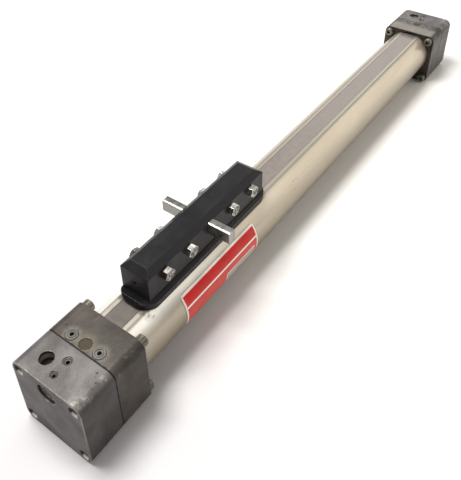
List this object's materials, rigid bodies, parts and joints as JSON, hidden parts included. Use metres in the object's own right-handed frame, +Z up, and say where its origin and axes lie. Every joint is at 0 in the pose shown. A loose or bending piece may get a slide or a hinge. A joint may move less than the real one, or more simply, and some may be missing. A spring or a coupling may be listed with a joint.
{
  "type": "rodless pneumatic cylinder",
  "caption": "Rodless pneumatic cylinder: slotted flat-topped barrel, steel sealing bands, square cast end caps and flanges, and a piston-driven carriage with side bolts and a cross bar.",
  "frame": {"origin": "middle of the overall box in plan, on the underside of the two end caps", "axes": "+X runs along the bore from the left end cap to the right one, +Y points to the rear, the side the air ports are offset to, +Z is up, through the slot and the carriage"},
  "size_m": [0.7, 0.0704, 0.0977],
  "materials": {
    "barrel_aluminium": "extruded, warm satin, light scratches",
    "band_steel": "rolled steel strip, dull",
    "cap_casting": "raw die casting, grey-brown patina, fine pits",
    "flange_casting": "raw die casting, darker patina",
    "gasket_rubber": "matt black",
    "screw_steel": "zinc plated, slightly tarnished",
    "hex_bolt_steel": "bright zinc plated",
    "clamp_screw_steel": "bright zinc plated",
    "shoe_steel": "plain steel",
    "access_plug_brass": "tarnished olive brown",
    "socket_plug_steel": "dark, tarnished",
    "cushion_steel": "turned",
    "yoke_aluminium": "machined",
    "head_aluminium": "turned",
    "ring_plastic": "natural wear ring plastic",
    "seal_rubber": "matt black",
    "carriage_black": "black anodised, satin",
    "skirt_plastic": "black, slightly glossy moulding",
    "bar_steel": "bare steel bar, drawn edges",
    "set_screw_black": "blackened steel"
  },
  "bodies": {
    "cylinder": {"barrel": "barrel_aluminium", "outer_band": "band_steel", "inner_band": "band_steel", "left_cap": "cap_casting", "right_cap": "cap_casting", "left_flange": "flange_casting", "right_flange": "flange_casting", "left_gasket": "gasket_rubber", "right_gasket": "gasket_rubber", "left_flange_screws": "screw_steel", "right_flange_screws": "screw_steel", "left_cap_seal": "seal_rubber", "right_cap_seal": "seal_rubber", "left_cushion_tube": "cushion_steel", "right_cushion_tube": "cushion_steel", "left_clamp_shoe": "shoe_steel", "right_clamp_shoe": "shoe_steel", "left_clamp_screws": "clamp_screw_steel", "right_clamp_screws": "clamp_screw_steel", "left_access_plug": "access_plug_brass", "right_access_plug": "access_plug_brass", "left_valve_plug": "socket_plug_steel", "right_valve_plug": "socket_plug_steel", "left_passage_plug": "cap_casting", "right_passage_plug": "cap_casting"},
    "carriage": {"piston_yoke": "yoke_aluminium", "left_piston_head": "head_aluminium", "right_piston_head": "head_aluminium", "left_head_screws": "screw_steel", "right_head_screws": "screw_steel", "left_piston_seal": "seal_rubber", "right_piston_seal": "seal_rubber", "left_wear_ring": "ring_plastic", "right_wear_ring": "ring_plastic", "left_cushion_seal": "seal_rubber", "right_cushion_seal": "seal_rubber", "carriage_body": "carriage_black", "skirt": "skirt_plastic", "carriage_screws": "screw_steel", "set_screws": "set_screw_black", "front_bolts": "hex_bolt_steel", "rear_bolts": "hex_bolt_steel", "cross_bar": "bar_steel"},
    "left_needle": {"left_needle": "socket_plug_steel"},
    "right_needle": {"right_needle": "socket_plug_steel"}
  },
  "joints": [
    {"name": "carriage_slide", "type": "slide", "parent": "cylinder", "child": "carriage", "axis": [1, 0, 0], "range_m": [-0.0205, 0.3795], "deforming": ["outer_band", "inner_band"]},
    {"name": "left_needle_turn", "type": "hinge", "parent": "cylinder", "child": "left_needle", "pos_m": [-0.328, 0, 0.064], "axis": [0, 0, 1], "range_deg": [-180, 540]},
    {"name": "right_needle_turn", "type": "hinge", "parent": "cylinder", "child": "right_needle", "pos_m": [0.328, 0, 0.064], "axis": [0, 0, 1], "range_deg": [-180, 540]}
  ]
}
